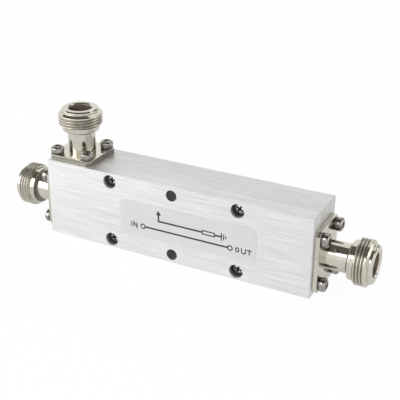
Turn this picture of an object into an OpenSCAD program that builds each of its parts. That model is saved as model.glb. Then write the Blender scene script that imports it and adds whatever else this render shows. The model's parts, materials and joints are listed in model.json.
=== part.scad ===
// Directional coupler: a two-part milled block with three coaxial flange sockets.
// Frame: X along the block, front face towards -Y, Z up, origin under the middle of the block.

/* [Block] */
// Length of the block, end to end
body_l = 102; // [96:1:140]
// Depth of the block, front to back
body_d = 20; // [19:0.5:26]
// Height of the block
body_h = 29; // [28:0.5:40]
// Thickness of the front cover plate
cover_t = 5.9; // [5.6:0.1:7]
// Chamfer on the outer edges of the block
edge_c = 0.2; // [0.1:0.1:0.8]
// Edge break on both sides of the seam between cover and housing
seam_c = 0.12; // [0.05:0.01:0.3]

/* [Line cavity] */
// Depth of the cavity behind the cover
cavity_d = 8.2; // [8:0.1:9.4]
// Height of the cavity
cavity_h = 16.2; // [15:0.1:17]
// Wall between the cavity and each end of the block
end_wall = 4; // [3.5:0.1:6]
// Radius left by the cutter in the cavity's corners
cavity_r = 3; // [1:0.5:4]

/* [Fixing holes and cover screws] */
// Diameter of the two fixing holes through the block
mount_hole_d = 4.1; // [3:0.1:4.4]
// Distance of the hole rows from the top and bottom faces
hole_inset = 3.2; // [3:0.1:3.6]
// Distance of the cover screws from the middle of the block
cover_screw_x = 24.6; // [22:0.2:32]
// Depth of a cover screw's head below the front face
head_sink = 1.8; // [0.4:0.1:2.6]
// Length of the cover screws under the head
cover_screw_l = 10; // [8:0.5:12]

/* [Screws and lock washers] */
// Diameter of the screws
screw_d = 2.5; // [2:0.1:2.6]
// Diameter of the pan heads
head_d = 4.8; // [4.4:0.1:5]
// Height of the pan heads
head_h = 2.1; // [1.5:0.1:2.4]
// Length of the flange screws under the head
flange_screw_l = 8; // [7:0.5:9]
// Width of the cross recess
recess_w = 0.6; // [0.4:0.05:0.8]
// Span of the cross recess
recess_l = 2.6; // [2:0.1:3]
// Depth of the cross recess
recess_d = 1; // [0.6:0.1:1.2]
// Outer diameter of the lock washers
washer_d = 4.5; // [4:0.1:4.8]
// Thickness of the lock washers
washer_t = 0.7; // [0.4:0.1:1]
// Width of the split in the lock washers
washer_split = 0.5; // [0.3:0.1:0.8]

/* [Connector flanges] */
// Distance of the coupled port's axis from the left end
port_x = 8.65; // [8.5:0.05:14]
// Thickness of the flanges
flange_t = 1.8; // [1.6:0.1:3]
// Width of the flanges across the block
flange_w = 17.6; // [17:0.1:18.4]
// Height of the two end flanges
end_flange_h = 22.4; // [21.6:0.1:24]
// Corner chamfer of the flanges
flange_c = 1.45; // [0.5:0.05:2]
// Screw spacing across the block
screw_gap = 12.7; // [12.5:0.1:13.4]
// Screw spacing up the two end flanges
end_screw_gap = 16.3; // [15.6:0.1:17]

/* [Connector shells] */
// Diameter of the barrel
barrel_d = 9.9; // [9.6:0.1:11]
// Height of the barrel's end above the block
barrel_h = 9.8; // [9:0.1:12]
// Length of the flared shoulder
shoulder_l = 0.5; // [0.3:0.1:1.5]
// Diameter of the ring behind the thread
ring_d = 13.3; // [12:0.1:14.5]
// Length of that ring
ring_l = 1.9; // [0.5:0.1:2.5]
// Outside diameter of the threaded band
thread_d = 15.8; // [15.6:0.02:16]
// Length of the threaded band
thread_l = 4.2; // [4:0.1:7]
// Length of the relief between the band and the nose
relief_l = 0.8; // [0.4:0.1:1.2]
// Diameter of the nose
nose_d = 13.3; // [12.5:0.1:14.5]
// Length of the nose
nose_l = 1.15; // [1:0.05:2]
// Chamfer on the outer edge of the nose
nose_c = 0.5; // [0.2:0.05:0.8]
// Diameter of the socket bore
bore_d = 8.2; // [8:0.05:8.6]
// Chamfer at the mouth of the socket bore
mouth_c = 0.5; // [0.2:0.05:0.8]
// Depth of the socket bore below the mouth
mate_depth = 9.1; // [8.8:0.1:9.4]

/* [Insulators and contacts] */
// Diameter of the insulator inside the barrel
dielectric_d = 6.8; // [6.4:0.1:7]
// Diameter of the insulator's collar
collar_d = 7.5; // [7.2:0.1:7.8]
// Depth of the collar's seat in the flange
collar_h = 1.2; // [0.8:0.1:1.5]
// Diameter of the contacts
contact_d = 3.04; // [2.8:0.02:3.4]
// Depth of a contact's tip below the mouth
tip_depth = 3.9; // [3.6:0.1:4.6]
// Diameter of the hole in a contact
socket_d = 1.65; // [1.5:0.05:1.8]
// Depth of the hole in a contact
socket_l = 5; // [4:0.1:6]
// Width of the slots in a contact
slot_w = 0.25; // [0.2:0.05:0.4]
// Length of the slots in a contact
slot_l = 3.6; // [2:0.1:3.9]
// Diameter of the rear pins
pin_d = 2.2; // [1.8:0.1:2.6]

/* [Lines] */
// Height of the two line bars
line_w = 3.4; // [3.2:0.1:4]
// Depth of the two line bars
line_t = 4; // [3.4:0.1:4.6]
// Gap between the two line bars
line_gap = 0.4; // [0.3:0.05:1.2]
// Gap between the main line and each end insulator
line_end_gap = 1; // [0.5:0.1:2]
// Length of a rear pin inside its line
pin_grip = 2.4; // [1.5:0.1:2.8]
// Length of the coupled line
coupled_l = 68; // [60:1:74]
// Distance of the line supports from the coupled line's ends
support_inset = 12; // [8:0.5:16]
// Length of the line supports along the block
support_l = 5; // [3:0.5:7]
// Rim of the line supports above and below the bars
support_rim = 2; // [1:0.1:2.4]

/* [Termination] */
// Width of the termination's base along the block
term_w = 6; // [5:0.1:8]
// Height of the termination's base
term_h = 10; // [9.4:0.1:11]
// Distance between the base's two screws
term_screw_gap = 7.4; // [7:0.1:8]
// Side of the square ceramic chip
chip_w = 3.8; // [3:0.1:4.2]
// Thickness of the chip
chip_t = 0.9; // [0.8:0.05:1.2]
// Thickness of the lead strip
lead_t = 0.2; // [0.15:0.05:0.3]
// Width of the lead strip
lead_w = 1.6; // [1:0.1:2]
// Overlap of the lead strip on the coupled line
lead_lap = 2; // [1:0.1:3]
// Gap between the coupled line's end and the base
term_gap = 1; // [0.6:0.1:2]
// Diameter of the base's screws
term_screw_d = 1.6; // [1.2:0.1:1.8]
// Head diameter of the base's screws
term_head_d = 2.6; // [2.2:0.1:2.8]
// Head height of the base's screws
term_head_h = 0.8; // [0.6:0.05:0.9]
// Thread length of the base's screws in the housing
term_grip = 3; // [2:0.1:3.4]

/* [Label] */
// Width of the label
label_w = 52.3; // [40:0.1:60]
// Height of the label
label_h = 13.3; // [10:0.1:14]
// Thickness of the label film
label_t = 0.12; // [0.06:0.02:0.3]
// Corner radius of the label
label_r = 3; // [1:0.1:4]
// Distance of the label's middle from the block's middle, to the right
label_x = 5.5; // [-8:0.1:8]
// Distance of the label's middle from the block's middle, upwards
label_rise = -0.35; // [-1:0.05:1]

/* [Hidden] */
$fn = 64;
// Radial clearance between a screw or pin and its hole
fit = 0.05;
// Radial clearance of the screws in the cover and flanges
loose = 0.1;
// Overshoot of cutting shapes past the faces they cut
eps = 0.5;
// Turn of the split in the lock washers
split_turn = 30;

front_y = -body_d / 2;
seam_y = front_y + cover_t;
floor_y = seam_y + cavity_d;
axis_y = seam_y + cavity_d / 2;
mid_z = body_h / 2;
top_wall = (body_h - cavity_h) / 2;
line_pitch = line_w + line_gap;
main_z = mid_z - line_pitch / 2;
coupled_z = mid_z + line_pitch / 2;
port_axis_x = -body_l / 2 + port_x;
hole_rows = [hole_inset, body_h - hole_inset];

bore_floor_h = barrel_h + shoulder_l + ring_l + thread_l + relief_l + nose_l - mate_depth;
mouth_h = bore_floor_h + mate_depth;
tip_h = mouth_h - tip_depth;
counterbore_d = head_d + 2 * loose;
counterbore_depth = head_h + head_sink;
screw_engaged = flange_screw_l - washer_t - flange_t;

main_l = body_l - 2 * (end_wall + line_end_gap);
coupled_x0 = port_axis_x - line_t / 2;
coupled_x1 = coupled_x0 + coupled_l;
coupled_pin_l = body_h - top_wall - coupled_z - line_w / 2 + pin_grip;
line_back_y = axis_y + line_t / 2;
term_x = coupled_x1 + term_gap + term_w / 2;
term_base_t = floor_y - line_back_y - lead_t - chip_t;
term_face_y = floor_y - term_base_t;

aluminium = [0.84, 0.85, 0.86];
nickel = [0.77, 0.75, 0.69];
steel = [0.62, 0.61, 0.60];
spring_steel = [0.24, 0.23, 0.22];
silver_plate = [0.86, 0.85, 0.82];
gold_plate = [0.83, 0.68, 0.35];
white_plastic = [0.94, 0.94, 0.92];

// Places and helpers

// Turns a shape drawn in X and Z, extruded upwards, to run along +Y from y
module along_y(y, length) {
    translate([0, y + length, 0]) rotate([90, 0, 0]) linear_extrude(length) children();
}

// The input port's frame: Z leaves the left end, X points up the flange
module at_input() {
    translate([-body_l / 2, axis_y, main_z]) rotate([0, -90, 0]) children();
}

// The output port's frame: Z leaves the right end, X points down the flange
module at_output() {
    translate([body_l / 2, axis_y, main_z]) rotate([0, 90, 0]) children();
}

// The coupled port's frame: Z leaves the top face
module at_coupled() {
    translate([port_axis_x, axis_y, body_h]) children();
}

// The four screw places of a flange, in a port's frame
module at_screws(gap_x) {
    for (sx = [-1, 1], sy = [-1, 1]) translate([sx * gap_x / 2, sy * screw_gap / 2, 0]) children();
}

// The two screw places of the termination's base, with Z pointing to the front
module at_term_screws() {
    for (s = [-1, 1]) {
        translate([term_x, term_face_y, coupled_z + s * term_screw_gap / 2]) rotate([90, 0, 0]) children();
    }
}

// The four cover screw places, with Z pointing to the front, on the counterbores' floors
module at_cover_screws() {
    for (sx = [-1, 1], z = hole_rows) {
        translate([sx * cover_screw_x, front_y + counterbore_depth, z]) rotate([90, 0, 0]) children();
    }
}

// Rectangle with rounded corners, centred
module round_rect(w, h, r) {
    square([w - 2 * r, h], center = true);
    square([w, h - 2 * r], center = true);
    for (sx = [-1, 1], sy = [-1, 1]) translate([sx * (w / 2 - r), sy * (h / 2 - r)]) circle(r);
}

// Rectangle with chamfered corners, centred
module cut_rect(w, h, c) {
    a = w / 2;
    b = h / 2;
    polygon([
        [a, c - b], [a, b - c], [a - c, b], [c - a, b],
        [-a, b - c], [-a, c - b], [c - a, -b], [a - c, -b]
    ]);
}

// Half section of a plate, with one chamfer at its front edges and another at its back edges
module plate_section(w, y0, y1, c0, c1) {
    a = w / 2;
    polygon([
        [c0 - a, y0], [a - c0, y0], [a, y0 + c0], [a, y1 - c1],
        [a - c1, y1], [c1 - a, y1], [-a, y1 - c1], [-a, y0 + c0]
    ]);
}

// One of the two plates of the block, from y0 to y1, with its edges broken by c0 and c1
module block_plate(y0, y1, c0, c1) {
    intersection() {
        translate([0, 0, mid_z]) along_y(y0, y1 - y0) cut_rect(body_l, body_h, edge_c);
        linear_extrude(body_h) plate_section(body_l, y0, y1, c0, c1);
        translate([-body_l / 2, 0, mid_z]) rotate([0, 90, 0]) linear_extrude(body_l)
            plate_section(body_h, y0, y1, c0, c1);
    }
}

// One tapped hole for a flange screw, down from z = 0
module tapped_hole() {
    depth = screw_engaged + eps;
    translate([0, 0, -depth]) cylinder(d = screw_d + 2 * fit, h = depth + eps);
}

// The tapped holes of all three flanges
module flange_screw_holes() {
    at_input() at_screws(end_screw_gap) tapped_hole();
    at_output() at_screws(end_screw_gap) tapped_hole();
    at_coupled() at_screws(screw_gap) tapped_hole();
}

// The two fixing holes right through the block
module fixing_holes() {
    for (z = hole_rows) {
        translate([0, eps - front_y, z]) rotate([90, 0, 0])
            cylinder(d = mount_hole_d, h = body_d + 2 * eps);
    }
}

// A pan-head screw with a cross recess; its head sits on z = 0 and its shank points down
module pan_screw(d, length, cap_d, cap_h, span, width, depth) {
    rise = cap_h / 2;
    dome_r = (cap_d * cap_d / 4 + rise * rise) / (2 * rise);
    difference() {
        union() {
            translate([0, 0, -length]) cylinder(d = d, h = length);
            intersection() {
                cylinder(d = cap_d, h = cap_h);
                translate([0, 0, cap_h - dome_r]) sphere(dome_r);
            }
        }
        for (turn = [0, 90]) {
            rotate(turn) translate([-span / 2, -width / 2, cap_h - depth]) cube([span, width, depth + eps]);
        }
    }
}

module flange_screw() {
    pan_screw(screw_d, flange_screw_l, head_d, head_h, recess_l, recess_w, recess_d);
}

// A split spring washer, pressed flat, with its split turned away from the flange's edges
module lock_washer() {
    difference() {
        cylinder(d = washer_d, h = washer_t);
        translate([0, 0, -eps]) cylinder(d = screw_d + 2 * loose, h = washer_t + 2 * eps);
        rotate(split_turn) translate([0, -washer_split / 2, -eps])
            cube([washer_d, washer_split, washer_t + 2 * eps]);
    }
}

// Connector pieces, each in its port's frame with the block's face at z = 0

// Outer profile of the turned shell, from the flange to the mouth
module shell_profile() {
    ring_z = barrel_h + shoulder_l;
    thread_z = ring_z + ring_l;
    relief_z = thread_z + thread_l;
    nose_z = relief_z + relief_l;
    lead_in = (thread_d - ring_d) / 4;
    polygon([
        [0, 0], [barrel_d / 2, 0], [barrel_d / 2, barrel_h],
        [ring_d / 2, ring_z], [ring_d / 2, thread_z],
        [thread_d / 2 - lead_in, thread_z], [thread_d / 2, thread_z + lead_in / 2],
        [thread_d / 2, relief_z], [nose_d / 2, nose_z],
        [nose_d / 2, mouth_h - nose_c], [nose_d / 2 - nose_c, mouth_h], [0, mouth_h]
    ]);
}

module shell(flange_h, gap_x) {
    color(nickel) difference() {
        union() {
            linear_extrude(flange_t) cut_rect(flange_h, flange_w, flange_c);
            rotate_extrude() shell_profile();
        }
        translate([0, 0, -eps]) cylinder(d = collar_d, h = eps + collar_h);
        translate([0, 0, -eps]) cylinder(d = dielectric_d, h = mouth_h + eps);
        translate([0, 0, bore_floor_h]) cylinder(d = bore_d, h = mate_depth + eps);
        translate([0, 0, mouth_h - mouth_c]) cylinder(d1 = bore_d, d2 = bore_d + 2 * mouth_c, h = mouth_c);
        at_screws(gap_x) translate([0, 0, -eps]) cylinder(d = screw_d + 2 * loose, h = flange_t + 2 * eps);
    }
}

// The insulator: a stem in the barrel and a collar through the block's wall
module insulator(wall) {
    color(white_plastic) difference() {
        union() {
            translate([0, 0, -wall]) cylinder(d = collar_d - 2 * fit, h = wall + collar_h);
            cylinder(d = dielectric_d - 2 * fit, h = bore_floor_h);
        }
        translate([0, 0, -wall - eps]) cylinder(d = contact_d + 2 * fit, h = wall + bore_floor_h + 2 * eps);
    }
}

// The contact: a slotted socket in front and a pin of the given length behind the wall
module contact(wall, pin_l) {
    color(gold_plate) difference() {
        union() {
            translate([0, 0, -wall - pin_l]) cylinder(d = pin_d, h = pin_l);
            translate([0, 0, -wall]) cylinder(d = contact_d, h = wall + tip_h);
        }
        translate([0, 0, tip_h - socket_l]) cylinder(d = socket_d, h = socket_l + eps);
        for (turn = [0, 90]) {
            rotate(turn) translate([-contact_d, -slot_w / 2, tip_h - slot_l])
                cube([2 * contact_d, slot_w, slot_l + eps]);
        }
    }
}

module flange_screws(gap_x) {
    color(steel) at_screws(gap_x) translate([0, 0, flange_t + washer_t]) flange_screw();
}

module lock_washers(gap_x) {
    color(spring_steel) at_screws(gap_x) translate([0, 0, flange_t]) lock_washer();
}

// The block

// The milled cavity for the lines
module cavity() {
    translate([0, 0, mid_z]) along_y(seam_y - eps, cavity_d + eps)
        round_rect(body_l - 2 * end_wall, cavity_h, cavity_r);
}

// A bore for an insulator's collar through a wall
module collar_bore(wall) {
    translate([0, 0, -wall - eps]) cylinder(d = collar_d, h = wall + 2 * eps);
}

module housing() {
    term_depth = term_base_t + term_grip;
    color(aluminium) difference() {
        block_plate(seam_y, -front_y, seam_c, edge_c);
        cavity();
        at_input() collar_bore(end_wall);
        at_output() collar_bore(end_wall);
        at_coupled() collar_bore(top_wall);
        flange_screw_holes();
        fixing_holes();
        at_cover_screws() translate([0, 0, -cover_screw_l - eps])
            cylinder(d = screw_d + 2 * fit, h = cover_screw_l);
        at_term_screws() translate([0, 0, -term_depth - fit])
            cylinder(d = term_screw_d + 2 * fit, h = term_depth);
    }
}

module cover() {
    color(aluminium) difference() {
        block_plate(front_y, seam_y, edge_c, seam_c);
        flange_screw_holes();
        fixing_holes();
        at_cover_screws() {
            cylinder(d = counterbore_d, h = counterbore_depth + eps);
            translate([0, 0, -cover_t]) cylinder(d = screw_d + 2 * loose, h = cover_t + eps);
        }
    }
}

module cover_screws() {
    color(steel) at_cover_screws()
        pan_screw(screw_d, cover_screw_l, head_d, head_h, recess_l, recess_w, recess_d);
}

module label() {
    color([0.83, 0.84, 0.84])
        translate([label_x, 0, mid_z + label_rise]) along_y(front_y - label_t, label_t)
            round_rect(label_w, label_h, label_r);
}

// The three ports

module input_shell() { at_input() shell(end_flange_h, end_screw_gap); }
module input_insulator() { at_input() insulator(end_wall); }
module input_contact() { at_input() contact(end_wall, line_end_gap + pin_grip); }
module input_screws() { at_input() flange_screws(end_screw_gap); }
module input_lock_washers() { at_input() lock_washers(end_screw_gap); }

module output_shell() { at_output() shell(end_flange_h, end_screw_gap); }
module output_insulator() { at_output() insulator(end_wall); }
module output_contact() { at_output() contact(end_wall, line_end_gap + pin_grip); }
module output_screws() { at_output() flange_screws(end_screw_gap); }
module output_lock_washers() { at_output() lock_washers(end_screw_gap); }

module coupled_shell() { at_coupled() shell(flange_w, screw_gap); }
module coupled_insulator() { at_coupled() insulator(top_wall); }
module coupled_contact() { at_coupled() contact(top_wall, coupled_pin_l); }
module coupled_screws() { at_coupled() flange_screws(screw_gap); }
module coupled_lock_washers() { at_coupled() lock_washers(screw_gap); }

// The lines and what carries them

module main_line() {
    pin_hole = pin_grip + 2 * fit;
    color(silver_plate) difference() {
        translate([-main_l / 2, axis_y - line_t / 2, main_z - line_w / 2]) cube([main_l, line_t, line_w]);
        for (s = [-1, 1]) {
            translate([s * (main_l / 2 - pin_hole), axis_y, main_z]) rotate([0, s * 90, 0])
                cylinder(d = pin_d + 2 * fit, h = pin_hole + eps);
        }
    }
}

module coupled_line() {
    pin_hole = pin_grip + 2 * fit;
    color(silver_plate) difference() {
        translate([coupled_x0, axis_y - line_t / 2, coupled_z - line_w / 2])
            cube([coupled_l, line_t, line_w]);
        translate([port_axis_x, axis_y, coupled_z + line_w / 2 - pin_hole])
            cylinder(d = pin_d + 2 * fit, h = pin_hole + eps);
    }
}

// A block between the cavity's floor and the cover, with a window for each bar
module line_support(x) {
    h = line_pitch + line_w + 2 * support_rim;
    color(white_plastic) difference() {
        translate([x - support_l / 2, seam_y, mid_z - h / 2]) cube([support_l, cavity_d, h]);
        for (z = [main_z, coupled_z]) {
            translate([x - support_l / 2 - eps, axis_y - line_t / 2 - fit, z - line_w / 2 - fit])
                cube([support_l + 2 * eps, line_t + 2 * fit, line_w + 2 * fit]);
        }
    }
}

module left_line_support() { line_support(coupled_x0 + support_inset); }
module right_line_support() { line_support(coupled_x1 - support_inset); }

// The resistor that ends the coupled line

module termination_base() {
    color([0.72, 0.45, 0.30]) difference() {
        translate([term_x - term_w / 2, term_face_y, coupled_z - term_h / 2])
            cube([term_w, term_base_t, term_h]);
        at_term_screws() translate([0, 0, -term_base_t - eps])
            cylinder(d = term_screw_d + 2 * loose, h = term_base_t + 2 * eps);
    }
}

module termination_chip() {
    color([0.90, 0.90, 0.88])
        translate([term_x - chip_w / 2, term_face_y - chip_t, coupled_z - chip_w / 2])
            cube([chip_w, chip_t, chip_w]);
}

module termination_lead() {
    x0 = coupled_x1 - lead_lap;
    color(silver_plate) translate([x0, line_back_y, coupled_z - lead_w / 2])
        cube([term_x - x0, lead_t, lead_w]);
}

module termination_screws() {
    length = term_base_t + term_grip;
    span = term_head_d / 2;
    slot = term_screw_d / 5;
    color(steel) at_term_screws()
        pan_screw(term_screw_d, length, term_head_d, term_head_h, span, slot, term_head_h / 2);
}

housing();
cover();
cover_screws();
label();
input_shell();
input_insulator();
input_contact();
input_screws();
input_lock_washers();
output_shell();
output_insulator();
output_contact();
output_screws();
output_lock_washers();
coupled_shell();
coupled_insulator();
coupled_contact();
coupled_screws();
coupled_lock_washers();
main_line();
coupled_line();
left_line_support();
right_line_support();
termination_base();
termination_chip();
termination_lead();
termination_screws();
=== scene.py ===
"""Looks of the directional coupler: brushed block, plated connectors, screws and label in a pale studio."""
import json
import math

import bmesh
import bpy
from mathutils import Matrix, Vector


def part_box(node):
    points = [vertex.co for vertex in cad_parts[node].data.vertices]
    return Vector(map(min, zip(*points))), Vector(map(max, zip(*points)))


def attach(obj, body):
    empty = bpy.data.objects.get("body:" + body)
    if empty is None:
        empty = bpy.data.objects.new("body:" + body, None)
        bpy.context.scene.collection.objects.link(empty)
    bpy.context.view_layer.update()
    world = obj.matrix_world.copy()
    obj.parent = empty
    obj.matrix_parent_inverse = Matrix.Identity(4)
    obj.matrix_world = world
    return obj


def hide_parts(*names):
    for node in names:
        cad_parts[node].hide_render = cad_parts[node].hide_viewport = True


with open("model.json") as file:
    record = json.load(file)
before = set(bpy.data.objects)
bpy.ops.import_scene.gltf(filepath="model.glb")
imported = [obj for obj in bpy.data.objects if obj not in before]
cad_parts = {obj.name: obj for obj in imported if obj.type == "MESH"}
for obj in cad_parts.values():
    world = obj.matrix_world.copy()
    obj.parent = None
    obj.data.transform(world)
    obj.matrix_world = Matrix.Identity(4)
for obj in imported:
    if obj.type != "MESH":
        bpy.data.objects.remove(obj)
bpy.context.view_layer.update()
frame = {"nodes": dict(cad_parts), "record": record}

MM = 0.001

# Edges that turn by more than this many degrees stay sharp, on meshes and on cut screw heads
SHARP_TURN = 35.0
SHARP_CUT_TURN = 32.0

# Steps round a fillet of a turned profile, and round the soft edge of a flange
FILLET_STEPS = 5
SOFT_STEPS = 3

# Connector turning, in millimetres above the block's face
FLANGE_T = 1.8
FLANGE_W = 17.6
END_FLANGE_H = 22.4
FLANGE_CHAMFER = 1.45
FLANGE_EDGE = 0.2
SCREW_GAP = 12.7
END_SCREW_GAP = 16.3
SCREW_HOLE_R = 1.35
BARREL_R = 4.95
BARREL_END = 9.8
RING_R = 6.65
RING_LOW = 10.3
THREAD_LOW = 12.2
THREAD_R = 7.9
THREAD_LEAD = 0.625
THREAD_START = 12.51
BAND_END = 16.4
NOSE_R = 6.65
NOSE_LOW = 17.2
NOSE_CHAMFER = 0.5
MOUTH = 18.35
BORE_R = 4.1
MOUTH_BEVEL = 0.5
BORE_FLOOR = 9.25
STEM_R = 3.4
COLLAR_R = 3.75
COLLAR_H = 1.2

# Thread: 24 turns to the inch, cut over the back of the band; its last rows give way to a rounded end
PITCH = 25.4 / 24
THREAD_DEPTH = 0.45
THREAD_TURNS = 3.35
THREAD_FADE = 0.5
THREAD_PHASE = 0.484
ROWS_PER_TURN = 22
LAND_ROWS = 9
ROUND_STEPS = 144
HOLE_STEPS = 40

# Screws and lock washers
HEAD_R = 2.4
HEAD_H = 2.1
HEAD_RIM = 1.05
RIM_SHARE = 0.8
DOME_STEPS = 8
SHANK_R = 1.25
FLANGE_SCREW_L = 8.0
COVER_SCREW_L = 10.0
RECESS_SPAN = 2.9
RECESS_WIDTH = 0.66
RECESS_DEPTH = 1.25
RECESS_OVER = 0.4
RECESS_AT_FLOOR = (0.45, 0.8)
RECESS_AT_TOP = (1.1, 1.15)
HEAD_FILLET = 0.12
TIP_CHAMFER = 0.3
SCREW_STEPS = 48
WASHER_OUT = 2.25
WASHER_IN = 1.35
WASHER_T = 0.7
WASHER_SPLIT = 14.0
WASHER_EDGE = 0.09
WASHER_STEPS = 60
COVER_SCREW_X = 24.6
HOLE_INSET = 3.2
COUNTERBORE_R = 2.5
COUNTERBORE_DEPTH = 3.9
FIXING_HOLE_R = 2.05
HOLE_EDGE = 0.06

# Turns of screws and washers, in degrees, and the numbers that each group takes
TURN_START = 11
TURN_STEP = 37
PORT_NUMBERS = 7
WASHER_NUMBERS = 3
COVER_START = 5
COVER_NUMBERS = 2

# Print on the label, in millimetres from the label's middle
BOLD_LINE = 0.62
THIN_LINE = 0.4
OUTLINE = 0.42
INK_T = 0.012
LINE_END_X = 16.8
LINE_END_R = 1.05
LINE_END_GAP = 0.75
MAIN_Z = -2.5
COUPLED_Z = 0.9
COUPLED_X = -10.5
ARROW_LOW = 3.2
ARROW_TIP = 5.0
ARROW_HALF = 1.0
LOAD_X = (6.2, 11.2)
LOAD_HALF = 0.85
EARTH_X = 13.6
EARTH_STEP = 0.8
EARTH_HALVES = (1.5, 1.0, 0.5)
LETTER_H = 1.9
LETTER_R = 0.75
IN_SHIFT = 4.6
OUT_SHIFT = 1.9
N_X = (0.9, 2.2)
U_X = 2.3
T_X = (4.3, 6.0)
T_BAR = 0.2


# Mesh helpers

def fillet(points):
    """A polyline of (h, r, radius) with each corner rounded by its radius."""
    out = []
    for i, (h, r, radius) in enumerate(points):
        here = Vector((h, r))
        if radius <= 0 or i in (0, len(points) - 1):
            out.append((h, r))
            continue
        back = Vector(points[i - 1][:2]) - here
        ahead = Vector(points[i + 1][:2]) - here
        half = back.angle(ahead) / 2
        reach = min(radius / math.tan(half), 0.48 * back.length, 0.48 * ahead.length)
        a = here + back.normalized() * reach
        b = here + ahead.normalized() * reach
        for k in range(FILLET_STEPS + 1):
            t = k / FILLET_STEPS
            p = a * (1 - t) ** 2 + here * (2 * t * (1 - t)) + b * t ** 2
            out.append((p.x, p.y))
    return out


def join_rings(bm, rings):
    """Faces between each ring of vertices and the next."""
    for low, high in zip(rings, rings[1:]):
        for k in range(len(low)):
            n = (k + 1) % len(low)
            bm.faces.new((low[k], low[n], high[n], high[k]))


def revolve(bm, rows, steps, radius_at=None):
    """Adds an open surface of revolution about Z; radius_at can change a row's radius with the angle."""
    rings = []
    for h, r in rows:
        ring = []
        for k in range(steps):
            turn = 2 * math.pi * k / steps
            here = radius_at(h, r, turn) if radius_at else r
            ring.append(bm.verts.new((here * math.cos(turn), here * math.sin(turn), h)))
        rings.append(ring)
    join_rings(bm, rings)
    return rings


def prism(bm, outline, height):
    """Adds a closed prism over an outline of (x, y) points."""
    rings = [[bm.verts.new((x, y, z)) for x, y in outline] for z in (0.0, height)]
    join_rings(bm, rings)
    bm.faces.new(rings[0])
    bm.faces.new(rings[1])


def circle(x, y, r, steps):
    return [(x + r * math.cos(2 * math.pi * k / steps), y + r * math.sin(2 * math.pi * k / steps))
            for k in range(steps)]


def to_mesh(bm, name):
    """Turns millimetres into metres and returns a smooth-shaded mesh with its sharp edges marked."""
    bmesh.ops.recalc_face_normals(bm, faces=bm.faces)
    bmesh.ops.scale(bm, vec=(MM, MM, MM), verts=bm.verts)
    mesh = bpy.data.meshes.new(name)
    bm.to_mesh(mesh)
    bm.free()
    mesh.shade_smooth()
    mesh.set_sharp_from_angle(angle=math.radians(SHARP_TURN))
    return mesh


def cut_away(mesh, cutter_mesh, name):
    """The first mesh less the second, as a new mesh."""
    body = bpy.data.objects.new(name + "_raw", mesh)
    cutter = bpy.data.objects.new(name + "_cutter", cutter_mesh)
    for o in (body, cutter):
        bpy.context.collection.objects.link(o)
    cut = body.modifiers.new("cut", "BOOLEAN")
    cut.operation = "DIFFERENCE"
    cut.solver = "EXACT"
    cut.object = cutter
    cut.material_mode = "INDEX"
    ready = body.evaluated_get(bpy.context.evaluated_depsgraph_get())
    result = bpy.data.meshes.new_from_object(ready)
    result.name = name
    bpy.data.objects.remove(body)
    bpy.data.objects.remove(cutter)
    return result


def joined(name, meshes_and_places):
    """One mesh from several, each moved by its matrix."""
    bm = bmesh.new()
    for mesh, place in meshes_and_places:
        first = len(bm.verts)
        bm.from_mesh(mesh)
        bm.verts.ensure_lookup_table()
        bmesh.ops.transform(bm, matrix=place, verts=bm.verts[first:])
    mesh = bpy.data.meshes.new(name)
    bm.to_mesh(mesh)
    bm.free()
    return mesh


def add_piece(name, mesh, materials, place=Matrix.Identity(4), replaced=()):
    """Places a mesh as a piece of the object, with the given materials."""
    piece = bpy.data.objects.new(name, mesh)
    bpy.context.collection.objects.link(piece)
    piece.matrix_world = place
    for material in materials:
        mesh.materials.append(material)
    bpy.context.view_layer.update()
    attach(piece, "root")
    if replaced:
        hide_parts(*replaced)


def shift(x, y, z):
    return Matrix.Translation((x * MM, y * MM, z * MM))


# Places on the block and of the ports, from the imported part

block_low = Vector([min(a, b) for a, b in zip(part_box("housing")[0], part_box("cover")[0])])
block_high = Vector([max(a, b) for a, b in zip(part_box("housing")[1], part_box("cover")[1])])
block_middle = (block_low + block_high) / 2
mounts = {m["name"]: m for m in frame["record"]["mounts"]}


def port_place(port, face, x_axis, z_axis):
    """The matrix of a port: its origin on the block's face, Z leaving the block."""
    z = Vector(z_axis)
    x = Vector(x_axis)
    origin = Vector(mounts[port + "_thread"]["pos_m"])
    k = max(range(3), key=lambda i: abs(z[i]))
    origin[k] = face
    place = Matrix((x, z.cross(x), z)).transposed().to_4x4()
    place.translation = origin
    return place


PORTS = {
    "input": (port_place("input", block_low.x, (0, 0, 1), (-1, 0, 0)), END_FLANGE_H, END_SCREW_GAP),
    "output": (port_place("output", block_high.x, (0, 0, -1), (1, 0, 0)), END_FLANGE_H, END_SCREW_GAP),
    "coupled": (port_place("coupled", block_high.z, (1, 0, 0), (0, 0, 1)), FLANGE_W, SCREW_GAP),
}


def four_places(gap):
    return [(sx * gap / 2, sy * SCREW_GAP / 2) for sx in (-1, 1) for sy in (-1, 1)]


# Material helpers, and the range that most values of a noise lie in

NOISE_RANGE = (0.3, 0.7)


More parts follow.
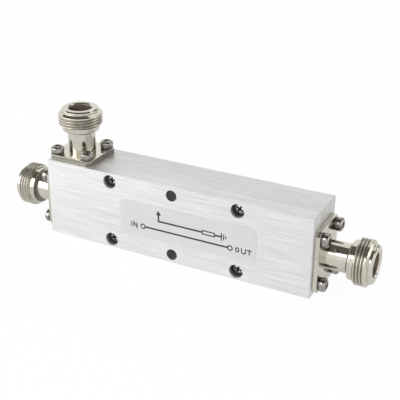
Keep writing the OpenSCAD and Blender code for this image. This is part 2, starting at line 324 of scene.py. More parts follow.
class Nodes:
    """A new material with a Principled shader and short ways to add nodes to it."""

    def __init__(self, name):
        self.material = bpy.data.materials.new(name)
        self.material.use_nodes = True
        self.tree = self.material.node_tree
        self.shader = self.tree.nodes["Principled BSDF"]

    def add(self, kind, **settings):
        node = self.tree.nodes.new(kind)
        for key, value in settings.items():
            setattr(node, key, value)
        return node

    def link(self, output, socket):
        self.tree.links.new(output, socket)

    def feed(self, sockets, values):
        """Sets or links each socket, by whether its value is a number or another node's output."""
        for socket, value in zip(sockets, values):
            if isinstance(value, bpy.types.NodeSocket):
                self.link(value, socket)
            else:
                socket.default_value = value

    def where(self):
        """Object coordinates, in metres."""
        return self.add("ShaderNodeTexCoord").outputs["Object"]

    def place(self, scale=(1, 1, 1)):
        """Object coordinates stretched by a scale."""
        mapping = self.add("ShaderNodeMapping")
        mapping.inputs["Scale"].default_value = scale
        self.link(self.where(), mapping.inputs["Vector"])
        return mapping.outputs["Vector"]

    def noise(self, vector, scale, detail, roughness=0.55):
        node = self.add("ShaderNodeTexNoise")
        node.inputs["Scale"].default_value = scale
        node.inputs["Detail"].default_value = detail
        node.inputs["Roughness"].default_value = roughness
        self.link(vector, node.inputs["Vector"])
        return node.outputs["Fac"]

    def remap(self, *values):
        """A value taken from one range to another: value, from low, from high, to low, to high."""
        node = self.add("ShaderNodeMapRange")
        names = ("Value", "From Min", "From Max", "To Min", "To Max")
        self.feed([node.inputs[name] for name in names], values)
        return node.outputs["Result"]

    def spread(self, value, low, high):
        """A noise value spread over a range."""
        return self.remap(value, *NOISE_RANGE, low, high)

    def ramp(self, value, start, end):
        """0 at a start and 1 at an end, both in millimetres."""
        return self.remap(value, start * MM, end * MM, 0.0, 1.0)

    def between(self, value, low, high):
        """1 where a value lies between two heights in millimetres, else 0."""
        above = self.math("GREATER_THAN", value, low * MM)
        return self.both(above, self.math("LESS_THAN", value, high * MM))

    def math(self, operation, a, b=0.0):
        node = self.add("ShaderNodeMath", operation=operation)
        self.feed(node.inputs, (a, b))
        return node.outputs["Value"]

    def both(self, a, b):
        """The product of two masks."""
        return self.math("MULTIPLY", a, b)

    def zone(self, h, radius, heights, radii):
        """Rises to 1 from one radius to another, between two heights, and is 0 elsewhere."""
        return self.both(self.between(h, *heights), self.ramp(radius, *radii))

    def length(self, a, b):
        """The length of a vector with two parts."""
        total = self.math("ADD", self.math("POWER", a, 2.0), self.math("POWER", b, 2.0))
        return self.math("POWER", total, 0.5)

    def blend(self, a, b, share):
        """A weighted sum of two values."""
        return self.math("ADD", self.math("MULTIPLY", a, 1 - share), self.math("MULTIPLY", b, share))

    def parts(self, vector):
        node = self.add("ShaderNodeSeparateXYZ")
        self.link(vector, node.inputs["Vector"])
        return [node.outputs[axis] for axis in "XYZ"]

    def cross(self, vector, axis):
        node = self.add("ShaderNodeVectorMath", operation="CROSS_PRODUCT")
        self.feed(node.inputs, (vector, axis))
        return node.outputs["Vector"]

    def mix(self, kind, factor, a, b):
        """Goes from a to b by a factor, for colours (RGBA), vectors (VECTOR) or numbers (VALUE)."""
        data = {"RGBA": "RGBA", "VECTOR": "VECTOR", "VALUE": "FLOAT"}[kind]
        node = self.add("ShaderNodeMix", data_type=data)
        ends = [s for s in node.inputs if s.type == kind and s.name in "AB"]
        self.link(factor, node.inputs["Factor"])
        self.feed(ends, (a, b))
        return next(s for s in node.outputs if s.type == kind)

    def tint(self, value, low, high):
        """A colour between two, by a value from 0 to 1."""
        return self.mix("RGBA", value, (*low, 1), (*high, 1))

    def bump(self, height, strength, distance):
        node = self.add("ShaderNodeBump")
        node.inputs["Strength"].default_value = strength
        node.inputs["Distance"].default_value = distance
        self.link(height, node.inputs["Height"])
        self.link(node.outputs["Normal"], self.shader.inputs["Normal"])

    def set(self, **values):
        """Sets or links inputs of the shader by short names."""
        names = {
            "colour": "Base Color", "metallic": "Metallic", "roughness": "Roughness", "ior": "IOR",
            "specular": "Specular IOR Level", "anisotropy": "Anisotropic", "tangent": "Tangent",
        }
        self.feed([self.shader.inputs[names[key]] for key in values], values.values())


# Brushed aluminium: stretch of the scratches along the block and up its ends, and painted shade down its
# holes
ALONG_BLOCK = (60, 2300, 2300)
UP_ENDS = (2300, 2300, 90)
END_FACING = 0.7
FLAT_FACING = 0.9
EDGE_TONE = (0.84, 0.84, 0.84, 1)
# Painted shade: counterbore walls darken with depth, and fixing holes are painted dark grey, darkest at
# their mouths
BORE_DEPTHS = (0.3, 1.6)
BORE_SHADE_TONES = ((0.6, 0.6, 0.61), (0.13, 0.12, 0.13))
HOLE_DEPTHS = (0.0, 6.0)
HOLE_SHADE_TONES = ((0.2, 0.195, 0.21), (0.7, 0.69, 0.72))
END_ROUGHNESS = 0.62
HOLE_ROUGHNESS = 0.7


def near_holes(n, centre, radius):
    """1 inside the front holes of one kind, at a distance from the block's middle, else 0."""
    x, _, z = n.parts(n.where())
    row = (block_high.z - block_low.z) / 2 - HOLE_INSET * MM
    off_row = n.math("SUBTRACT", n.math("ABSOLUTE", n.math("SUBTRACT", z, block_middle.z)), row)
    off = n.math("SUBTRACT", n.math("ABSOLUTE", x), centre * MM)
    return n.math("LESS_THAN", n.length(off, off_row), (radius + HOLE_EDGE) * MM)


def brushed_aluminium(name, dark, light):
    """Fine scratches along X on the long faces and up the two ends; dull down the holes, with painted shade
    on their walls.
    """
    n = Nodes(name)
    normal = n.add("ShaderNodeNewGeometry").outputs["True Normal"]
    along, across, up = [n.math("ABSOLUTE", part) for part in n.parts(normal)]
    on_end = n.math("GREATER_THAN", along, END_FACING)
    on_edge = n.math("LESS_THAN", n.math("MAXIMUM", n.math("MAXIMUM", across, up), along), FLAT_FACING)
    vector = n.mix("VECTOR", on_end, n.place(ALONG_BLOCK), n.place(UP_ENDS))
    fine = n.noise(vector, scale=1.0, detail=3.0, roughness=0.7)
    broad = n.noise(vector, scale=0.4, detail=2.0)
    cloud = n.noise(n.place(), scale=35.0, detail=2.0)
    streak = n.blend(fine, broad, 0.2)
    face = n.mix("RGBA", on_edge, n.tint(n.spread(streak, 0, 1), dark, light), EDGE_TONE)
    depth = n.math("SUBTRACT", block_high.y, n.math("ABSOLUTE", n.parts(n.where())[1]))
    in_hole = n.math("GREATER_THAN", depth, HOLE_EDGE * MM)
    counterbores = n.both(in_hole, near_holes(n, COVER_SCREW_X, COUNTERBORE_R))
    fixing_holes = n.both(in_hole, near_holes(n, 0.0, FIXING_HOLE_R))
    # Painted shade on the walls of the counterbores and the fixing holes
    bore_shaded = n.mix("RGBA", counterbores, face, n.tint(n.ramp(depth, *BORE_DEPTHS), *BORE_SHADE_TONES))
    hole_shaded = n.mix("RGBA", fixing_holes, bore_shaded, n.tint(n.ramp(depth, *HOLE_DEPTHS), *HOLE_SHADE_TONES))
    n.set(colour=hole_shaded, metallic=1.0)
    on_face = n.spread(n.blend(broad, cloud, 0.4), 0.4, 0.52)
    sheen = n.mix("VALUE", on_end, on_face, END_ROUGHNESS)
    holes = n.math("MAXIMUM", counterbores, fixing_holes)
    n.set(roughness=n.mix("VALUE", holes, sheen, HOLE_ROUGHNESS))
    scratched = n.mix("VECTOR", on_end, n.cross(normal, (1, 0, 0)), n.cross(normal, (0, 0, 1)))
    n.set(anisotropy=0.55, tangent=scratched)
    n.bump(streak, strength=0.25, distance=0.00003)
    return n.material


# Bright nickel: zones of the turning by height and radius in millimetres, and their tones; painted shade in
# the thread groove, behind the ring, down the bore and on the top port's flange edges
THREAD_ROOT = ((THREAD_START - 0.2, BAND_END), (THREAD_R - 0.08, THREAD_R - THREAD_DEPTH))
BEHIND_RING = ((BARREL_END - 0.3, RING_LOW), (RING_R, RING_R - 0.5))
IN_BORE = ((BORE_FLOOR - 1, MOUTH - 0.4), (BORE_R + 0.2, BORE_R + 0.1))
FLANGE_RIM = ((0.0, FLANGE_T - 0.1), (BARREL_R + 3.2, BARREL_R + 3.3))
WORN_THREAD = ((THREAD_LOW, THREAD_START + PITCH * THREAD_TURNS), (RING_R, RING_R + 0.2))
PLATE_TONES = ((0.61, 0.58, 0.505), (0.68, 0.65, 0.57))
# Painted shade for the top port's flange edges
SHADED_RIM_TONES = ((0.34, 0.325, 0.28), (0.40, 0.38, 0.33))
# Painted shade in the thread groove and the corner behind the ring
HOLLOW_SHADE = (0.27, 0.245, 0.205, 1)
# Painted shade down the bore, with a brown cast standing in for the contact's reflection
BORE_SHADE_TONE = (0.48, 0.41, 0.36, 1)
WORN_ROUGHNESS = 0.18
HOLLOW_SHADE_ROUGHNESS = 0.42


def bright_nickel(name, edge_tones):
    """Turned brass, plated: faint rings round the local Z axis, painted shade in the thread groove, behind
    the ring and down the bore, and flange edges in tones of their own, which are painted shade on the top
    port.
    """
    n = Nodes(name)
    rings = n.noise(n.place((60, 60, 9000)), scale=1.0, detail=3.0)
    cloud = n.noise(n.place(), scale=260.0, detail=3.0)
    x, y, h = n.parts(n.where())
    radius = n.length(x, y)
    # root: where painted shade goes, deeper in the thread groove and on the cone behind the ring
    root = n.math("MAXIMUM", n.zone(h, radius, *THREAD_ROOT), n.zone(h, radius, *BEHIND_RING))
    in_bore = n.zone(h, radius, *IN_BORE)
    on_rim = n.zone(h, radius, *FLANGE_RIM)
    shade = n.spread(cloud, 0, 1)
    plate = n.mix("RGBA", on_rim, n.tint(shade, *PLATE_TONES), n.tint(shade, *edge_tones))
    hollow_shaded = n.mix("RGBA", root, plate, HOLLOW_SHADE)
    # Painted shade with a brown cast down the bore
    n.set(colour=n.mix("RGBA", in_bore, hollow_shaded, BORE_SHADE_TONE), metallic=1.0)
    polish = n.spread(n.blend(rings, cloud, 0.5), 0.06, 0.15)
    worn = n.mix("VALUE", n.zone(h, radius, *WORN_THREAD), polish, WORN_ROUGHNESS)
    n.set(roughness=n.mix("VALUE", n.math("MAXIMUM", root, in_bore), worn, HOLLOW_SHADE_ROUGHNESS))
    n.bump(rings, strength=0.12, distance=0.00001)
    return n.material


def plated_metal(name, dark, light, low, high, mark_scale=2400.0, cloud_scale=300.0):
    """A metal between two tones and two roughnesses, with soft clouds and fine marks."""
    n = Nodes(name)
    marks = n.noise(n.place(), scale=mark_scale, detail=3.0)
    cloud = n.noise(n.place(), scale=cloud_scale, detail=2.0)
    n.set(colour=n.tint(n.spread(cloud, 0, 1), dark, light), metallic=1.0)
    n.set(roughness=n.spread(marks, low, high))
    n.bump(marks, strength=0.1, distance=0.00001)
    return n.material


def screw_steel(name, dark, light, low, high):
    """Plated steel, with finer marks and clouds for its small size."""
    return plated_metal(name, dark, light, low, high, 2600.0, 700.0)


def label_film(name, dark, light):
    """Satin printed film with a fine grain."""
    n = Nodes(name)
    grain = n.noise(n.place(), scale=5200.0, detail=3.0)
    cloud = n.noise(n.place(), scale=90.0, detail=2.0)
    n.set(colour=n.tint(n.spread(cloud, 0, 1), dark, light), metallic=0.0)
    n.set(roughness=n.spread(grain, 0.38, 0.52), specular=0.45)
    n.bump(grain, strength=0.12, distance=0.00001)
    return n.material


def white_insulator(name, dark, light):
    """Waxy white fluoropolymer with turning marks."""
    n = Nodes(name)
    marks = n.noise(n.place((900, 900, 900)), scale=1.0, detail=3.0)
    n.set(colour=n.tint(n.spread(marks, 0, 1), dark, light), metallic=0.0)
    n.set(roughness=n.spread(marks, 0.35, 0.55), ior=1.35)
    n.bump(marks, strength=0.1, distance=0.00002)
    return n.material


def grained(name, dark, light, low, high, scale):
    """A dull finish with a fine grain, for the ink and the ceramic."""
    n = Nodes(name)
    grain = n.noise(n.place(), scale=scale, detail=3.0)
    n.set(colour=n.tint(n.spread(grain, 0, 1), dark, light), metallic=0.0)
    n.set(roughness=n.spread(grain, low, high))
    return n.material


COVER_METAL = brushed_aluminium("brushed_cover", (0.665, 0.664, 0.662), (0.955, 0.954, 0.952))
HOUSING_METAL = brushed_aluminium("brushed_housing", (0.63, 0.628, 0.62), (0.91, 0.907, 0.897))
NICKEL = bright_nickel("bright_nickel", PLATE_TONES)
# A copy of the plate with painted shade on its flange edges, for the top port
SHADED_RIM_NICKEL = bright_nickel("bright_nickel_shaded_rim", SHADED_RIM_TONES)
STEEL = screw_steel("screw_steel", (0.28, 0.265, 0.25), (0.49, 0.475, 0.45), 0.09, 0.2)
DULL_STEEL = screw_steel("dull_screw_steel", (0.78, 0.76, 0.73), (0.9, 0.88, 0.85), 0.3, 0.45)
SPRING = plated_metal("spring_steel", (0.10, 0.097, 0.093), (0.19, 0.185, 0.18), 0.2, 0.36)
# Painted shade in the cross recesses of the screw heads
SHADED_RECESS = plated_metal("recess_shade_steel", (0.12, 0.10, 0.09), (0.2, 0.175, 0.16), 0.35, 0.5)
FILM = label_film("label_film", (0.765, 0.775, 0.775), (0.795, 0.805, 0.805))
INK = grained("print_ink", (0.018, 0.018, 0.02), (0.04, 0.04, 0.042), 0.4, 0.6, 3000.0)
PTFE = white_insulator("white_insulator", (0.86, 0.86, 0.84), (0.93, 0.93, 0.915))
GOLD = plated_metal("gold_plate", (0.70, 0.52, 0.22), (0.86, 0.68, 0.34), 0.16, 0.3)
SILVER = plated_metal("silver_plate", (0.76, 0.75, 0.72), (0.88, 0.87, 0.84), 0.2, 0.35)
COPPER = plated_metal("bare_copper", (0.60, 0.33, 0.20), (0.75, 0.46, 0.32), 0.25, 0.4)
CERAMIC = grained("fired_ceramic", (0.80, 0.80, 0.78), (0.90, 0.90, 0.88), 0.45, 0.65, 4000.0)


# Connector shells

def thread_cut(h, r, turn):
    """Radius on the band: a rounded groove that winds up it and fades out towards the mouth."""
    if r < THREAD_R - 1e-6 or not THREAD_START <= h <= BAND_END:
        return r
    along = (h - THREAD_START) / PITCH
    ease = min(1.0, max(0.0, (THREAD_TURNS - along) / THREAD_FADE))
    phase = (along - turn / (2 * math.pi) + THREAD_PHASE) % 1.0
    groove = 0.5 - 0.5 * math.cos(2 * math.pi * phase)
    return r - THREAD_DEPTH * ease * groove


def shell_rows():
    """The turned profile, from the flange up the outside, over the mouth and down the bores."""
    outside = fillet([
        (FLANGE_T, BARREL_R, 0), (BARREL_END, BARREL_R, 0.5), (RING_LOW, RING_R, 0.3),
        (THREAD_LOW, RING_R, 0.12), (THREAD_LOW, THREAD_R - THREAD_LEAD, 0.1),
        (THREAD_START, THREAD_R, 0),
    ])
    count = int((BAND_END - THREAD_START) / PITCH * ROWS_PER_TURN)
    step = (BAND_END - THREAD_START) / count
    band = [(THREAD_START + step * k, THREAD_R) for k in range(1, count + 1 - LAND_ROWS)]
    mouth = fillet([
        (band[-1][0] + 0.02, THREAD_R, 0), (BAND_END, THREAD_R, 0.45),
        (NOSE_LOW - 0.15, NOSE_R + 0.15, 0.1), (NOSE_LOW - 0.05, NOSE_R - 0.12, 0.06),
        (NOSE_LOW + 0.12, NOSE_R, 0.06),
        (MOUTH - NOSE_CHAMFER, NOSE_R, 0.3), (MOUTH, NOSE_R - NOSE_CHAMFER, 0.3),
        (MOUTH, BORE_R + MOUTH_BEVEL, 0.08), (MOUTH - MOUTH_BEVEL, BORE_R, 0.1),
        (BORE_FLOOR, BORE_R, 0), (BORE_FLOOR, STEM_R, 0), (COLLAR_H, STEM_R, 0), (COLLAR_H, COLLAR_R, 0),
        (0.0, COLLAR_R, 0),
    ])
    return outside + band + mouth


def inset(outline, depth):
    """A convex outline moved inwards by a depth."""
    moved = []
    for k, point in enumerate(outline):
        here = Vector(point)
        back = (here - Vector(outline[k - 1])).normalized()
        ahead = (Vector(outline[(k + 1) % len(outline)]) - here).normalized()
        inward = Vector((-back.y - ahead.y, back.x + ahead.x))
        moved.append(tuple(here + inward * depth / (1 + back.dot(ahead))))
    return moved


def add_flange(bm, height, gap, bore_ring, barrel_ring):
    """The flange plate with softened edges and screw holes, closed on to the rings of the turning."""
    a, b, c = height / 2, FLANGE_W / 2, FLANGE_CHAMFER
    half = [(a, c - b), (a, b - c), (a - c, b), (c - a, b)]
    outline = half + [(-x, -y) for x, y in half]
    turns = [math.pi / 2 * k / SOFT_STEPS for k in range(SOFT_STEPS + 1)]
    soft = [(FLANGE_EDGE * (1 - math.sin(t)), FLANGE_EDGE * (1 - math.cos(t))) for t in turns]
    levels = soft + [(d, FLANGE_T - z) for d, z in reversed(soft)]
    sides = [[bm.verts.new((x, y, z)) for x, y in inset(outline, d)] for d, z in levels]
    join_rings(bm, sides)
    under, over = [sides[0], bore_ring], [sides[-1], barrel_ring]
    for x, y in four_places(gap):
        hole = circle(x, y, SCREW_HOLE_R, HOLE_STEPS)
        rings = [[bm.verts.new((*p, z)) for p in hole] for z in (0.0, FLANGE_T)]
        join_rings(bm, rings)
        under.append(rings[0])
        over.append(rings[1])
    for loops in (under, over):
        edges = [bm.edges.get((ring[k - 1], v)) for ring in loops for k, v in enumerate(ring)]
        bmesh.ops.triangle_fill(bm, edges=edges, use_beauty=True)


def build_shell(port):
    place, height, gap = PORTS[port]
    bm = bmesh.new()
    rings = revolve(bm, shell_rows(), ROUND_STEPS, thread_cut)
    add_flange(bm, height, gap, rings[-1], rings[0])
    mesh = to_mesh(bm, port + "_shell_mesh")
    # The top port takes the copy with painted shade on its flange edges
    plate = SHADED_RIM_NICKEL if port == "coupled" else NICKEL
    add_piece(port + "_shell_turned", mesh, [plate], place, [port + "_shell"])


# Screws and lock washers

def recess_cutter():
    """A cross that narrows towards its bottom, for the drive recess."""
    s, w = RECESS_SPAN / 2, RECESS_WIDTH / 2
    arm = [(s, -w), (s, w), (w, w)]
    cross = []
    while len(cross) < 12:
        cross += arm
        arm = [(-y, x) for x, y in arm]
    levels = [(HEAD_H - RECESS_DEPTH, *RECESS_AT_FLOOR), (HEAD_H + RECESS_OVER, *RECESS_AT_TOP)]
    bm = bmesh.new()
    rings = []
    for z, long, wide in levels:
        spot = [[v * (long if abs(v) > w else wide) for v in point] for point in cross]
        rings.append([bm.verts.new((x, y, z)) for x, y in spot])
    join_rings(bm, rings)
    bm.faces.new(rings[0])
    bm.faces.new(rings[1])
    for face in bm.faces:
        face.material_index = 1
    return to_mesh(bm, "recess_cutter")


def screw_mesh(length):
    """A pan-head screw on z = 0, shank down, with a cross recess."""
    rise = HEAD_H - HEAD_RIM
    turns = [math.pi / 2 * (1 - k / DOME_STEPS) for k in range(DOME_STEPS)]
    dome = [(HEAD_RIM + rise * (1 - math.sin(t) ** 3) ** 0.5, HEAD_R * math.sin(t)) for t in turns]
    rows = fillet([
        (-length, SHANK_R - TIP_CHAMFER, 0), (TIP_CHAMFER - length, SHANK_R, 0), (0, SHANK_R, 0),
        (0, HEAD_R, HEAD_FILLET), (HEAD_RIM * RIM_SHARE, HEAD_R, 0),
    ])
    bm = bmesh.new()
    rings = revolve(bm, rows + dome, SCREW_STEPS)
    bm.faces.new(rings[0])
    bm.faces.new(rings[-1])
    mesh = cut_away(to_mesh(bm, "screw_raw"), recess_cutter(), "screw")
    mesh.set_sharp_from_angle(angle=math.radians(SHARP_CUT_TURN))
    return mesh


def washer_mesh():
    """A split spring washer, pressed nearly flat, with softened edges."""
    e = WASHER_EDGE
    a, b, t = WASHER_IN, WASHER_OUT, WASHER_T
    section = [(a + e, 0), (b - e, 0), (b, e), (b, t - e), (b - e, t), (a + e, t), (a, t - e), (a, e)]
    bm = bmesh.new()
    start = math.radians(WASHER_SPLIT / 2)
    rings = []
    for k in range(WASHER_STEPS + 1):
        turn = start + (2 * math.pi - 2 * start) * k / WASHER_STEPS
        rings.append([bm.verts.new((r * math.cos(turn), r * math.sin(turn), z)) for r, z in section])
    join_rings(bm, rings)
    bm.faces.new(rings[0])
    bm.faces.new(rings[-1])
    return to_mesh(bm, "lock_washer")


def turned(k):
    """A turn about Z for the screw or washer with number k, so that neighbours stand differently."""
    return Matrix.Rotation(math.radians((k * TURN_STEP + TURN_START) % 90), 4, "Z")


def build_port_screws(port, number):
    place, _, gap = PORTS[port]
    screws, washers = [], []
    for k, (x, y) in enumerate(four_places(gap), number):
        screws.append((FLANGE_SCREW, shift(x, y, FLANGE_T + WASHER_T) @ turned(k)))
        washers.append((WASHER, shift(x, y, FLANGE_T) @ turned(WASHER_NUMBERS * k)))
    mesh = joined(port + "_screws_mesh", screws)
    add_piece(port + "_flange_screws", mesh, [STEEL, SHADED_RECESS], place, [port + "_screws"])
    mesh = joined(port + "_washers_mesh", washers)
    add_piece(port + "_spring_washers", mesh, [SPRING], place, [port + "_lock_washers"])


def build_cover_screws():
    face = Matrix.Rotation(math.radians(90), 4, "X")
    rows = (block_low.z / MM + HOLE_INSET, block_high.z / MM - HOLE_INSET)
    y = block_low.y / MM + COUNTERBORE_DEPTH
    places = [(x, z) for x in (-COVER_SCREW_X, COVER_SCREW_X) for z in rows]
    screws = []
    for k, (x, z) in enumerate(places):
        screws.append((COVER_SCREW, shift(x, y, z) @ face @ turned(COVER_START + COVER_NUMBERS * k)))
    mesh = joined("cover_screws_mesh", screws)
    add_piece("cover_fixing_screws", mesh, [DULL_STEEL, SHADED_RECESS], replaced=["cover_screws"])


# Print on the label: the plain circuit sign of a coupler, with marks at its two line ends

def stroke(bm, points, width):
    """A line of ink through the points, mitred at its bends."""
    points = [Vector(p) for p in points]
    left, right = [], []
    for k, here in enumerate(points):
        back = (here - points[k - 1]).normalized() if k else None
        ahead = (points[k + 1] - here).normalized() if k + 1 < len(points) else None
        back, ahead = back or ahead, ahead or back
        side = Vector((-back.y - ahead.y, back.x + ahead.x)) / (1 + back.dot(ahead)) * width / 2
        left.append(tuple(here + side))
        right.append(tuple(here - side))
    prism(bm, left + right[::-1], INK_T)


def loop(bm, points, width):
    """A closed line of ink round a convex outline."""
    rings = []
    for depth, z in ((0.0, 0.0), (0.0, INK_T), (width, INK_T), (width, 0.0)):
        rings.append([bm.verts.new((*p, z)) for p in inset(points, depth)])
    join_rings(bm, rings + rings[:1])


def add_sign(bm):
    """The main line with its ends, the coupled line with its arrow, and the load at its other end."""
    reach = LINE_END_X - LINE_END_GAP
    stroke(bm, [(-reach, MAIN_Z), (reach, MAIN_Z)], BOLD_LINE)
    for x in (-LINE_END_X, LINE_END_X):
        loop(bm, circle(x, MAIN_Z, LINE_END_R, 28), OUTLINE)
    near, far = LOAD_X
    stroke(bm, [(COUPLED_X, ARROW_LOW + 0.2), (COUPLED_X, COUPLED_Z), (near, COUPLED_Z)], BOLD_LINE)
    barbs = [COUPLED_X + ARROW_HALF, COUPLED_X - ARROW_HALF]
    prism(bm, [(barbs[0], ARROW_LOW), (COUPLED_X, ARROW_TIP), (barbs[1], ARROW_LOW)], INK_T)
    low, high = COUPLED_Z - LOAD_HALF, COUPLED_Z + LOAD_HALF
    loop(bm, [(near, low), (far, low), (far, high), (near, high)], OUTLINE)
    stroke(bm, [(far, COUPLED_Z), (EARTH_X - 0.2, COUPLED_Z)], BOLD_LINE)
    for k, half in enumerate(EARTH_HALVES):
        x = EARTH_X + EARTH_STEP * k
        stroke(bm, [(x, COUPLED_Z - half), (x, COUPLED_Z + half)], THIN_LINE)


def add_end_marks(bm):
    """The words IN and OUT at the two line ends, in single strokes."""
    low = MAIN_Z - LETTER_H / 2
    high = low + LETTER_H
    x = -LINE_END_X - IN_SHIFT
    stroke(bm, [(x, low), (x, high)], THIN_LINE)
    left, right = x + N_X[0], x + N_X[1]
    stroke(bm, [(left, low), (left, high), (right, low), (right, high)], THIN_LINE)
    x = LINE_END_X + OUT_SHIFT
    under = circle(x + LETTER_R, low + LETTER_R, LETTER_R, 16)[8:]
    over = circle(x + LETTER_R, high - LETTER_R, LETTER_R, 16)[:9]
    loop(bm, under + over, THIN_LINE)
    left, right = x + U_X, x + U_X + 2 * LETTER_R
    turns = (0, 0.79, 1.57, 2.36, math.pi)
    bend = [(left + LETTER_R * (1 - math.cos(t)), low + LETTER_R * (1 - math.sin(t))) for t in turns]
    stroke(bm, [(left, high)] + bend + [(right, high)], THIN_LINE)
    left, right = x + T_X[0], x + T_X[1]
    stroke(bm, [(left, high - T_BAR), (right, high - T_BAR)], THIN_LINE)
    stroke(bm, [((left + right) / 2, low), ((left + right) / 2, high - 2 * T_BAR)], THIN_LINE)


def print_mesh():
    bm = bmesh.new()
    add_sign(bm)
    add_end_marks(bm)
    return to_mesh(bm, "label_print_mesh")


def build_print():
    low, high = [Vector(c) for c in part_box("label")]
    front = Matrix.Translation(((low.x + high.x) / 2, low.y, (low.z + high.z) / 2))
    place = front @ Matrix.Rotation(math.radians(90), 4, "X")
    add_piece("label_print", print_mesh(), [INK], place)


# Finishes of the solids that stay as they are

def finish_node(node, material):
    obj = frame["nodes"][node]
    obj.data.materials.clear()
    obj.data.materials.append(material)


finish_node("cover", COVER_METAL)
finish_node("housing", HOUSING_METAL)
finish_node("label", FILM)
for port in PORTS:
    finish_node(port + "_insulator", PTFE)
    finish_node(port + "_contact", GOLD)
for name in ("main_line", "coupled_line", "termination_lead"):
    finish_node(name, SILVER)
for name in ("left_line_support", "right_line_support"):
    finish_node(name, PTFE)
finish_node("termination_base", COPPER)
finish_node("termination_chip", CERAMIC)
finish_node("termination_screws", STEEL)

FLANGE_SCREW = screw_mesh(FLANGE_SCREW_L)
COVER_SCREW = screw_mesh(COVER_SCREW_L)
WASHER = washer_mesh()
for number, port in enumerate(PORTS):
    build_shell(port)
    build_port_screws(port, PORT_NUMBERS * number)
build_cover_screws()
build_print()


# Studio: white floor, soft lamps and dark cards for the plated parts to mirror

FLOOR_SIZE = 8.0
FLOOR_DROP = 0.0001
FLOOR_WHITE = 0.85
SEEN_WHITE = 1.02
SEEN_SHARE = 0.93
MIRRORED_SHARE = 0.5
AMBIENT = 0.65
CARD_TONE = (1.0, 0.95, 0.87, 1)

# The photograph's viewpoint, solved from the block's edges: degrees and millimetres (near clip in metres)
VIEW_TURN = 27.12
VIEW_TILT = 25.63
VIEW_ROLL = 0.35
VIEW_DISTANCE = 291.6
VIEW_TARGET = (5.82, 0.0, 21.39)
VIEW_LENS = 75.95
VIEW_SENSOR = 36.0
VIEW_NEAR = 0.01


def seen_directly(tree, in_camera=1.0, in_mirrors=1.0):
    """A share for camera rays, another for glossy and transmission rays, and 0 for light on things."""
    path = tree.nodes.new("ShaderNodeLightPath")
    total = None
    mirrors = [("Is Glossy Ray", in_mirrors), ("Is Transmission Ray", in_mirrors)]
    for name, share in [("Is Camera Ray", in_camera)] + mirrors:
        part = tree.nodes.new("ShaderNodeMath")
        part.operation = "MULTIPLY"
        part.inputs[1].default_value = share
        tree.links.new(path.outputs[name], part.inputs[0])
        if total is None:
            total = part.outputs["Value"]
            continue
        more = tree.nodes.new("ShaderNodeMath")
        more.operation = "MAXIMUM"
        tree.links.new(total, more.inputs[0])
        tree.links.new(part.outputs["Value"], more.inputs[1])
        total = more.outputs["Value"]
    return total


def set_world():
    world = bpy.data.worlds.new("studio")
    bpy.context.scene.world = world
    world.use_nodes = True
    tree = world.node_tree
    tree.nodes.clear()
    out = tree.nodes.new("ShaderNodeOutputWorld")
    mix = tree.nodes.new("ShaderNodeMixShader")
    for socket, strength in ((1, AMBIENT), (2, SEEN_WHITE)):
        light = tree.nodes.new("ShaderNodeBackground")
        light.inputs["Color"].default_value = (1, 1, 1, 1)
        light.inputs["Strength"].default_value = strength
        tree.links.new(light.outputs["Background"], mix.inputs[socket])
    tree.links.new(seen_directly(tree), mix.inputs["Fac"])
    tree.links.new(mix.outputs["Shader"], out.inputs["Surface"])
    world.cycles.sampling_method = "NONE"


def floor_material():
    material = bpy.data.materials.new("studio_floor")
    material.use_nodes = True
    tree = material.node_tree
    tree.nodes.clear()
    out = tree.nodes.new("ShaderNodeOutputMaterial")
    mix = tree.nodes.new("ShaderNodeMixShader")
    lit = tree.nodes.new("ShaderNodeBsdfDiffuse")
    lit.inputs["Color"].default_value = (FLOOR_WHITE, FLOOR_WHITE, FLOOR_WHITE, 1)
    white = tree.nodes.new("ShaderNodeEmission")
    white.inputs["Strength"].default_value = SEEN_WHITE
    tree.links.new(seen_directly(tree, SEEN_SHARE, MIRRORED_SHARE), mix.inputs["Fac"])
    tree.links.new(lit.outputs["BSDF"], mix.inputs[1])
    tree.links.new(white.outputs["Emission"], mix.inputs[2])
    tree.links.new(mix.outputs["Shader"], out.inputs["Surface"])
    return material


def corners(width, height):
    """The corners of a flat rectangle round the origin."""
    a, b = width / 2, height / 2
    return [(-a, -b, 0), (a, -b, 0), (a, b, 0), (-a, b, 0)]


def aim(obj, place, target):
    """Puts a lamp or card at a place, facing a target."""
    obj.location = place
    obj.rotation_euler = (Vector(target) - Vector(place)).to_track_quat("-Z", "Y").to_euler()


def add_floor():
    mesh = bpy.data.meshes.new("studio_floor")
    mesh.from_pydata(corners(FLOOR_SIZE, FLOOR_SIZE), [], [(0, 1, 2, 3)])
    mesh.materials.append(floor_material())
    floor = bpy.data.objects.new("studio_floor", mesh)
    floor.location.z = block_low.z - FLOOR_DROP
    bpy.context.collection.objects.link(floor)


def add_lamp(name, place, target, size, power, colour=(1, 1, 1)):
    lamp = bpy.data.lights.new(name, "AREA")
    lamp.color = colour
    lamp.shape = "RECTANGLE"
    lamp.size, lamp.size_y = size
    lamp.energy = power
    obj = bpy.data.objects.new(name, lamp)
    obj.visible_camera = False
    aim(obj, place, target)
    bpy.context.collection.objects.link(obj)


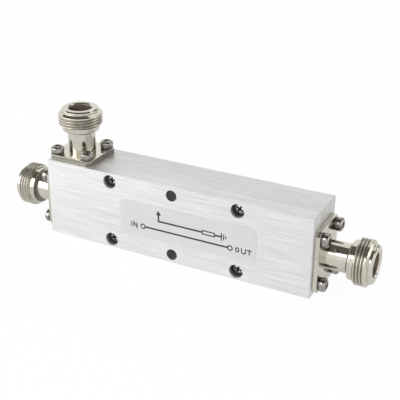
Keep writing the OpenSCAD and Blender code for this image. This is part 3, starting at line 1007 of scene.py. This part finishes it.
def add_card(name, place, target, size, level):
    """A dim card that only mirrors see, so that bright metal has something dark to show."""
    material = bpy.data.materials.new(name)
    material.use_nodes = True
    tree = material.node_tree
    tree.nodes.clear()
    out = tree.nodes.new("ShaderNodeOutputMaterial")
    glow = tree.nodes.new("ShaderNodeEmission")
    glow.inputs["Color"].default_value = CARD_TONE
    glow.inputs["Strength"].default_value = level
    tree.links.new(glow.outputs["Emission"], out.inputs["Surface"])
    material.cycles.emission_sampling = "NONE"
    mesh = bpy.data.meshes.new(name)
    mesh.from_pydata(corners(*size), [], [(0, 1, 2, 3)])
    mesh.materials.append(material)
    card = bpy.data.objects.new(name, mesh)
    aim(card, place, target)
    card.visible_camera = False
    card.visible_diffuse = False
    card.visible_shadow = False
    bpy.context.collection.objects.link(card)


def add_camera():
    """The camera at the photograph's viewpoint."""
    turn, tilt, roll = [math.radians(angle) for angle in (VIEW_TURN, VIEW_TILT, VIEW_ROLL)]
    level = math.cos(tilt)
    back = Vector((math.sin(turn) * level, -math.cos(turn) * level, math.sin(tilt)))
    right = Vector((math.cos(turn), math.sin(turn), 0))
    up = back.cross(right)
    side = right * math.cos(roll) + up * math.sin(roll)
    top = up * math.cos(roll) - right * math.sin(roll)
    camera = bpy.data.cameras.new("camera")
    camera.sensor_width = VIEW_SENSOR
    camera.lens = VIEW_LENS
    camera.clip_start = VIEW_NEAR
    obj = bpy.data.objects.new("camera", camera)
    place = Matrix((side, top, back)).transposed().to_4x4()
    place.translation = Vector(VIEW_TARGET) * MM + back * (VIEW_DISTANCE * MM)
    obj.matrix_world = place
    bpy.context.collection.objects.link(obj)
    bpy.context.scene.camera = obj


set_world()
add_floor()
middle = (0.0, 0.0, 0.02)
right_socket = (0.065, 0.0, 0.0145)
add_lamp("key", (-0.62, -0.50, 0.22), middle, size=(0.75, 0.36), power=2.0)
add_lamp("side", (0.66, 0.42, 0.16), middle, size=(0.6, 0.24), power=0.6, colour=(1.0, 0.965, 0.93))
add_lamp("strip", (-0.31, -0.60, 0.57), right_socket, size=(0.5, 0.26), power=0.95)
add_card("ceiling_card", (0.0, -0.18, 0.75), (0.0, -0.18, 0.0), size=(2.0, 0.9), level=0.13)
add_card("back_card", (0.55, 0.75, 0.4), (0.0, 0.0, 0.1), size=(1.1, 0.8), level=0.3)
add_camera()

bpy.context.scene.view_settings.view_transform = "Standard"
